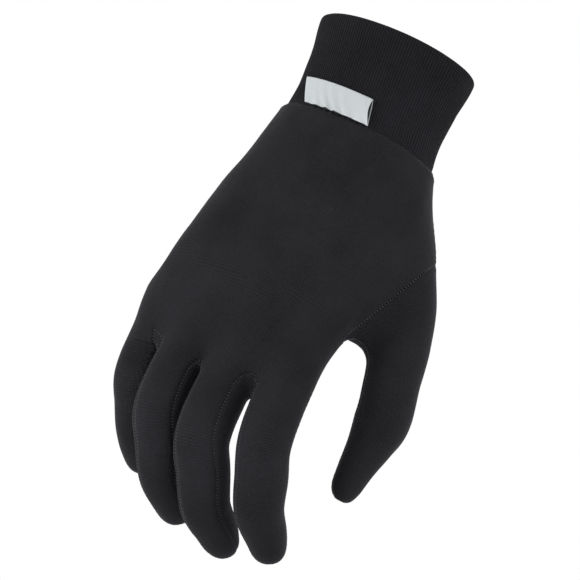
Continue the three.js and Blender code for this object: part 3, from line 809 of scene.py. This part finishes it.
def knit_material(name, colour, light, wale, course, uv_name="Knit", depth=0.09, sheen=0.09, slant=0.0):
    """Fine jersey: columns of loops, each a V, with a little random variation of tone, painted shade in the
    hollows between the loops and a soft sheen.
    """
    graph = Graph(name)
    m = graph.math
    u, v = graph.flat_place(uv_name)
    if slant:
        u = m("ADD", u, m("MULTIPLY", v, slant))
    column = m("FRACT", m("DIVIDE", u, wale))
    lean = m("MULTIPLY", m("ABSOLUTE", m("SUBTRACT", column, 0.5)), 2.0)
    row = m("FRACT", m("ADD", m("DIVIDE", v, course), m("MULTIPLY", lean, 0.5)))
    ridge = m("SUBTRACT", 1.0, m("POWER", lean, 2.0))
    loop = m("SINE", m("MULTIPLY", row, math.pi))
    height = m("ADD", m("MULTIPLY", ridge, 0.35), m("MULTIPLY", loop, 0.65))
    fuzz = graph.noise(Scale=1500.0, Detail=2.0, Roughness=0.6)
    cloud = graph.noise(Scale=38.0, Detail=3.0, Roughness=0.55)
    # The colour follows the loops' height as well as the noise: painted shade in the hollows between loops and
    # columns, lighter on their crests, with random tone from the fuzz and the cloud.
    value = m("ADD", m("MULTIPLY", height, 0.42), m("MULTIPLY", fuzz, 0.58))
    value = m("ADD", m("MULTIPLY", value, 0.7), m("MULTIPLY", cloud, 0.3))
    graph.bump(m("ADD", height, m("MULTIPLY", fuzz, 0.7)), 1.0, depth)
    graph.link(m("ADD", 0.74, m("MULTIPLY", fuzz, 0.2)), graph.shader.inputs["Roughness"])
    graph.surface(graph.toned(graph.ramp(value, colour, light, 0.36, 0.66)), {
        "Specular IOR Level": 0.12, "Sheen Weight": sheen, "Sheen Roughness": 0.36,
        "Sheen Tint": (0.82, 0.86, 0.95, 1),
    })
    return graph.material


def thread_material(name, colour):
    graph = Graph(name)
    dark, light = [c * 0.6 for c in colour], [c * 1.5 for c in colour]
    graph.surface(graph.ramp(graph.noise(Scale=4000.0, Detail=1.0), dark, light),
                  {"Roughness": 0.6, "Sheen Weight": 0.2})
    return graph.material


def ribbon_material(name):
    """Off-white satin ribbon: fine threads across it, a soft gloss, painted shade in the weave's hollows and
    the mesh's Tone, which paints shade inside its fold.
    """
    graph = Graph(name)
    m = graph.math
    u, v = graph.flat_place("Ribbon")
    warp = m("SINE", m("MULTIPLY", u, 2 * math.pi / 0.24))
    weft = m("SINE", m("MULTIPLY", v, 2 * math.pi / 0.34))
    height = m("ADD", m("MULTIPLY", warp, 0.3), m("MULTIPLY", weft, 0.5))
    height = m("ADD", height, m("MULTIPLY", graph.noise(Scale=900.0, Detail=2.0), 0.6))
    # The colour follows the weave's height: painted shade in the hollows between the threads and painted
    # highlight on their crests, with random tone from the noise.
    shine = m("ADD", 0.45, m("MULTIPLY", height, 0.35))
    graph.bump(height, 0.6, 0.03)
    graph.surface(graph.toned(graph.ramp(shine, (0.3, 0.33, 0.34), (0.56, 0.59, 0.6))),
                  {"Roughness": 0.38, "Sheen Weight": 0.15})
    return graph.material


BLACK, SOOT = (0.0025, 0.0024, 0.0032), (0.0165, 0.016, 0.0192)
WALE, COURSE = 0.82, 0.88
knit = knit_material("knit_black", BLACK, SOOT, WALE, COURSE)
thumb_knit = knit_material("knit_thumb", BLACK, SOOT, WALE, COURSE, slant=0.5)
rib = knit_material("rib_black", (0.0012, 0.0012, 0.0018), (0.0145, 0.014, 0.0175), 0.42, 0.9, sheen=0.06,
                    uv_name="Rib", depth=0.1)
ribbon = ribbon_material("ribbon_white")
pale_thread = thread_material("thread_grey", (0.055, 0.055, 0.06))


# The hand's pieces

def hand_pieces():
    points, quads = skin()
    faces = triangles(points, quads)
    middle = palm.centre[PALM_STEPS // 2]
    if ((points - middle) * point_normals(points, faces)).sum() < 0:
        faces = faces[:, ::-1]
    rows = skin_rows(points, faces)
    rows, faces, side = cut(rows, faces, WRIST)
    faces = faces[side > 0]
    rows, faces, side = cut(rows, faces, THUMB_LINE)
    parts = {"thumb": faces[side > 0]}
    faces = faces[side < 0]
    for k in range(3):
        rows, faces, side = cut(rows, faces, STRIP_0 + k)
        parts[f"fourchette_{FINGERS[k]['name']}_{FINGERS[k + 1]['name']}"] = faces[side > 0]
        faces = faces[side < 0]
    rows, faces, side = cut(rows, faces, SIDE_LINE)
    parts["palm_panel"], parts["back_panel"] = faces[side > 0], faces[side < 0]
    rows[:, 3:6] = unit(rows[:, 3:6])

    # Relief: the seams, the rolled wrist edge and the cloth's own unevenness
    run = rows[:, V_HAND]
    inside_thumb = rows[:, THUMB_LINE] > 0
    strip = rows[:, STRIP_0:STRIP_2 + 1]
    in_strip = strip.max(1) > 0
    distance = np.minimum(np.abs(rows[:, THUMB_LINE]), np.where(inside_thumb, 99, np.abs(strip).min(1)))
    distance = np.minimum(distance, np.where(inside_thumb | in_strip, 99, np.abs(rows[:, SIDE_LINE])))
    thumb_edge = np.where(inside_thumb & (rows[:, V_THUMB] > 62), np.abs(rows[:, THUMB_EDGE]), 99)
    distance = np.minimum(distance, thumb_edge)
    relief = seam_relief(distance, run + rows[:, Y])
    below = rows[:, WRIST]
    turn = np.arctan2(rows[:, Y] / WRIST_DEPTH, rows[:, X] / WRIST_WIDTH)
    gather = 1 + 0.4 * np.sin(turn * 78 + 1.5 * np.sin(turn * 5))
    relief += 0.16 * np.exp(-((below - 2.0) / 1.1) ** 2) * gather - 1.15 * np.exp(-(below / 1.2) ** 2) * gather
    relief -= 3.0 * smoothstep(0, 1.8, strip[:, 2]) * smoothstep(-112, -98, rows[:, Z])
    relief += 0.22 * wobble(rows[:, :3], 26, 3) + 0.07 * wobble(rows[:, :3], 9, 5)
    rows[:, :3] += rows[:, 3:6] * relief[:, None]
    return rows, parts


rows, parts = hand_pieces()

threads = {"places": [], "ways": [], "normals": []}


def add_threads(line_rows, keep):
    place, way, normal = spaced(line_rows[:, :3], line_rows[:, 3:6], STITCH_SPACING, keep)
    across = np.cross(normal, way)
    source = np.random.default_rng(len(place))
    lean = source.normal(0, 0.25, len(place))[:, None]
    threads["places"].append(place)
    threads["ways"].append(unit(across + way * lean))
    threads["normals"].append(normal)


for name, faces in parts.items():
    part_rows, part_faces, solid_points, solid_faces, loops = panel(rows, faces)
    if name == "thumb":
        uv = part_rows[:, [U_THUMB, V_THUMB]]
    elif name.startswith("fourchette"):
        uv = part_rows[:, [U_STRIP, V_HAND]]
    else:
        uv = part_rows[:, [U_BACK if name == "back_panel" else U_PALM, V_HAND]]
    # The tone is lighter at the knuckles: the stretched knit together with painted sheen.
    tone = 1 + 0.35 * part_rows[:, STRETCH_AND_SHEEN]
    # The thumb is painted a little darker: painted shade on the side away from the light.
    if name == "thumb":
        tone = tone - 0.1
    piece = build_mesh(name + "_knit", solid_points, solid_faces, np.vstack([uv, uv]), np.tile(tone, 2))
    piece.data.materials.append(thumb_knit if name == "thumb" else knit)
    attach(piece, "root")
    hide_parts(name)
    for loop in loops:
        closed = part_rows[loop + [loop[0]]]
        if name.startswith("fourchette") or name == "thumb":
            add_threads(closed, (closed[:, WRIST] > WRIST_MARGIN).astype(float))
        elif name == "palm_panel":
            own = (np.abs(closed[:, SIDE_LINE]) < 0.02) & (closed[:, WRIST] > WRIST_MARGIN)
            add_threads(closed, own.astype(float))


def thumb_seam():
    """Threads on the seam that runs down the thumb's inner edge."""
    share, steps = np.linspace(0.47, 0.975, 400), np.linspace(0, 1, THUMB_STEPS)
    centre, side, half_width = thumb.table[:, :3], thumb.table[:, 3:6], thumb.table[:, 9:10]
    line = sampled(share, steps, centre - side * (half_width - 0.25))
    add_threads(np.hstack([line, -sampled(share, steps, side)]), None)


thumb_seam()

seam_stitches = stitches("seam_stitches", *(np.vstack(threads[k]) for k in ("places", "ways", "normals")),
                         long=0.8, thick=0.26, lift=0.04)
seam_stitches.data.materials.append(pale_thread)
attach(seam_stitches, "root")


# The cuff

def cuff_section(up):
    flare, pinch = eased(up, CUFF[:, 0], CUFF[:, 1]), eased(up, CUFF[:, 0], CUFF[:, 2])
    wide = mix(WRIST_WIDTH / 2 - CUFF_STEP, CUFF_TOP_WIDTH / 2, flare) - pinch * CUFF_PINCH
    deep = mix(WRIST_DEPTH / 2 - CUFF_STEP, CUFF_TOP_DEPTH / 2, flare) - pinch * CUFF_PINCH
    return wide, deep


def cuff_points(turn, up, offset):
    """Points on the cuff at angles turn and shares up of its height, offset outwards in millimetres."""
    wide, deep = cuff_section(up)
    tilt = np.radians(mix(WRIST_TILT, CUFF_TOP_TILT, up))
    x, y = np.cos(turn) * wide, np.sin(turn) * deep
    nx, ny = np.cos(turn) * deep, np.sin(turn) * wide
    size = np.hypot(nx, ny)
    x, y = x + nx / size * offset, y + ny / size * offset
    return np.stack([
        CUFF_TOP_SHIFT * up + x * np.cos(tilt),
        y,
        0.3 + up * CUFF_HEIGHT + x * np.sin(tilt),
    ], -1)


def even_turns(count):
    """Angles round the cuff at equal steps of length."""
    turn = np.linspace(0, 2 * math.pi, 4001)
    wide, deep = cuff_section(0.4)
    x, y = np.cos(turn) * wide, np.sin(turn) * deep
    run = np.concatenate([[0], np.cumsum(np.hypot(np.diff(x), np.diff(y)))])
    return np.interp(np.arange(count) / count * run[-1], run, turn)


def cuff_piece():
    ribs, across = 150, 8
    turn = even_turns(ribs * across)
    phase = (np.arange(ribs * across) % across) / across
    ridge = np.abs(np.sin(math.pi * phase)) ** 0.75 - 0.72
    count = 48
    fold = CUFF_WALL / 2
    heights = np.linspace(-0.9, CUFF_HEIGHT - fold, count)
    rows_up, offsets, depth = [], [], []
    for h in heights:
        rows_up.append(h / CUFF_HEIGHT)
        offsets.append(0.0)
        depth.append(RIB_HEIGHT * min(1.0, 0.5 + max(h, 0) / 6))
    for a in np.linspace(0, math.pi, 12)[1:-1]:
        rows_up.append((CUFF_HEIGHT - fold + math.sin(a) * fold) / CUFF_HEIGHT)
        offsets.append(-fold * (1 - math.cos(a)))
        depth.append(RIB_HEIGHT * (0.35 + 0.45 * abs(math.cos(a))))
    for h in heights[::-3]:
        rows_up.append(h / CUFF_HEIGHT)
        offsets.append(-CUFF_WALL)
        depth.append(RIB_HEIGHT * 0.6)
    rows_up.append(heights[0] / CUFF_HEIGHT)
    offsets.append(-CUFF_WALL)
    depth.append(0.0)
    rows_up, offsets, depth = np.array(rows_up), np.array(offsets), np.array(depth)
    up = np.repeat(rows_up[:, None], len(turn), 1)
    t = np.repeat(turn[None], len(rows_up), 0)
    inward = np.where(offsets < -fold, -1, 1)[:, None]
    offset = offsets[:, None] + depth[:, None] * ridge[None] * inward
    drift = np.column_stack([np.cos(t.ravel()) * 30, np.sin(t.ravel()) * 30, up.ravel() * 40])
    offset = offset + (0.22 * wobble(drift, 30, 11) + 0.05 * wobble(drift, 7, 12)).reshape(offset.shape)
    points = cuff_points(t, np.clip(up, 0, 1), offset)
    points[..., 2] += np.minimum(up, 0) * CUFF_HEIGHT
    rows_n, cols = offset.shape
    r, c = np.meshgrid(np.arange(rows_n), np.arange(cols), indexing="ij")
    index = r * cols + c
    nxt = (index // cols) * cols + (c + 1) % cols
    below, below_next = np.roll(index, -1, 0), np.roll(nxt, -1, 0)
    quads = np.stack([index, nxt, below_next, below], -1).reshape(-1, 4)
    u = np.repeat((np.arange(cols) / across * RIB_PITCH)[None], rows_n, 0)
    v = np.concatenate([[0], np.cumsum(np.linalg.norm(np.diff(points[:, 0], axis=0), axis=1))])
    uv = np.stack([u, np.repeat(v[:, None], cols, 1)], -1).reshape(-1, 2)
    # The tone follows the rib: the valleys between the ribs are painted darker than their crests, as painted
    # shade.
    tone = np.tile(0.72 + 0.4 * (ridge + 0.72), rows_n)
    piece = build_mesh("cuff_rib", points.reshape(-1, 3), quads, uv, tone, uv_name="Rib")
    piece.data.materials.append(rib)
    return piece


cuff = cuff_piece()
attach(cuff, "root")
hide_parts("cuff")


# The label: a ribbon folded over at its top edge, both ends open, sewn down at its lower edge

def label_piece():
    columns, turns = 90, 60
    s = np.linspace(-0.5, 0.5, columns)[:, None]
    w = np.linspace(0, 1, turns)[None]
    half = LABEL_HEIGHT - 0.4
    front = w < 0.5
    climb = np.where(front, w * 2, (1 - w) * 2)
    fold = 0.42
    rise = half * climb
    top = np.clip((rise - (half - fold)) / fold, 0, 1)
    rise = np.where(top > 0, half - fold + fold * np.sin(top * math.pi / 2), rise)
    centre_out = 0.75
    pucker_zone = np.exp(-((s + 0.02) / 0.2) ** 2)
    wrinkle = 0.5 + 0.7 * np.sin(s * 40 + 2.6 * np.sin(climb * 2.4))
    wrinkle = wrinkle * pucker_zone * (1 - climb) ** 0.6 * 0.72
    gathers = 0.25 * np.sin(s * 38) * np.exp(-(climb / 0.3) ** 2)
    middle = np.sin(np.pi * np.clip(climb, 0.02, 0.98)) ** 0.6
    opened = 0.3 + middle * (0.25 + 1.6 * smoothstep(0.28, 0.5, s))
    fall = np.cos(top * math.pi / 2)
    out = np.where(front, centre_out + fall * opened + wrinkle + gathers, centre_out - fall * 0.35)
    scallop = (0.2 + 0.25 * s) * np.abs(np.sin(s * 23 + 0.8 * np.sin(s * 11))) * (1 - climb) ** 6
    height = 0.25 + rise - scallop * front - s * 0.9 * climb
    share = height / LABEL_HEIGHT
    left_end, right_end = mix(-15.1, -20.6, share), mix(18.2, 17.6, share)
    arc = mix(left_end, right_end, s + 0.5)
    arc = arc - s * 0.4 * pucker_zone * (1 - climb)
    arc = arc - 0.85 * front * middle ** 2 * smoothstep(0.36, 0.5, s)
    up = height / CUFF_HEIGHT
    wide, _ = cuff_section(np.clip(up, 0, 1))
    turn = math.radians(LABEL_ANGLE) + (arc - share * LABEL_LEAN) / wide
    thin = 0.16
    outer = cuff_points(turn, up, RIB_HEIGHT / 2 + 0.1 + out)
    grid = np.arange(columns * turns).reshape(columns, turns)
    quads = np.stack([grid[:-1, :-1], grid[1:, :-1], grid[1:, 1:], grid[:-1, 1:]], -1).reshape(-1, 4)
    points = outer.reshape(-1, 3)
    tris = np.vstack([quads[:, [0, 1, 2]], quads[:, [0, 2, 3]]])
    normals = point_normals(points, tris)
    solid = np.vstack([points + normals * thin / 2, points - normals * thin / 2])
    size = len(points)
    rim = np.concatenate([grid[:, 0], grid[-1, 1:], grid[-2::-1, -1], grid[0, -2:0:-1]])
    following = np.roll(rim, -1)
    walls = np.stack([following, rim, rim + size, following + size], 1)
    faces = np.vstack([quads, quads[:, ::-1] + size, walls])
    uv = np.stack([np.broadcast_to(arc, (columns, turns)),
                   np.broadcast_to(w * 2 * LABEL_HEIGHT, (columns, turns))], -1).reshape(-1, 2)
    # One face of the ribbon, the inside of the loop, is painted nearly black, as painted shade inside the
    # fold; only its right edge stays white.
    inside = np.broadcast_to(0.06 + 0.9 * smoothstep(0.489, 0.494, s), (columns, turns)).ravel()
    tone = np.concatenate([np.ones(size), inside])
    piece = build_mesh("label_ribbon", solid, faces, np.vstack([uv, uv]), tone, uv_name="Ribbon")
    piece.data.materials.append(ribbon)
    return piece


label = label_piece()
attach(label, "root")
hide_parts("label")


# Stage, light and camera

def stage():
    bpy.ops.mesh.primitive_plane_add(size=12, location=(0, 0, -3.2))
    floor = bpy.context.active_object
    floor.name = "floor"
    graph = Graph("floor_pale")
    grain = graph.add("ShaderNodeTexNoise", Scale=3.0).outputs["Fac"]
    graph.surface(graph.ramp(grain, (0.84, 0.84, 0.84), (0.9, 0.9, 0.9)), {"Roughness": 0.9})
    floor.data.materials.append(graph.material)

    world = bpy.data.worlds.new("studio")
    bpy.context.scene.world = world
    world.use_nodes = True
    world.node_tree.nodes["Background"].inputs[0].default_value = (1, 1, 1, 1)
    world.node_tree.nodes["Background"].inputs[1].default_value = 1.0


AZIMUTH, ELEVATION, ROLL = math.radians(24), math.radians(-18), math.radians(25.5)
FRAME_WIDTH, CAMERA_AWAY = 0.2436, 6.0
toward = Vector((math.cos(ELEVATION) * math.sin(AZIMUTH), -math.cos(ELEVATION) * math.cos(AZIMUTH),
                 math.sin(ELEVATION)))
level = Vector((math.cos(AZIMUTH), math.sin(AZIMUTH), 0))
upright = toward.cross(level)
right = level * math.cos(ROLL) + upright * math.sin(ROLL)
over = upright * math.cos(ROLL) - level * math.sin(ROLL)
aim = right * -0.0289 + over * -0.063


def area_light(name, across, above, away, size, power):
    """A soft light placed in the camera's own directions, aimed at the glove."""
    data = bpy.data.lights.new(name, "AREA")
    data.shape = "DISK"
    data.size = size
    data.energy = power
    lamp = bpy.data.objects.new(name, data)
    bpy.context.scene.collection.objects.link(lamp)
    place = aim + right * across + over * above + toward * away
    lamp.matrix_world = Matrix.Translation(place) @ (place - aim).to_track_quat("Z", "Y").to_matrix().to_4x4()


def camera():
    data = bpy.data.cameras.new("camera")
    data.sensor_width = 36
    data.lens = 36 * CAMERA_AWAY / FRAME_WIDTH
    data.clip_start, data.clip_end = 0.05, 30
    eye = bpy.data.objects.new("camera", data)
    bpy.context.scene.collection.objects.link(eye)
    turn = Matrix((right, over, toward)).transposed().to_4x4()
    eye.matrix_world = Matrix.Translation(aim + toward * CAMERA_AWAY) @ turn
    bpy.context.scene.camera = eye


stage()
area_light("left", -0.6, 0.15, 0.3, 0.5, 2.2)
area_light("right", 0.6, 0.05, 0.35, 0.5, 1.6)
camera()
bpy.context.scene.view_settings.view_transform = "Standard"
bpy.context.scene.view_settings.look = "None"
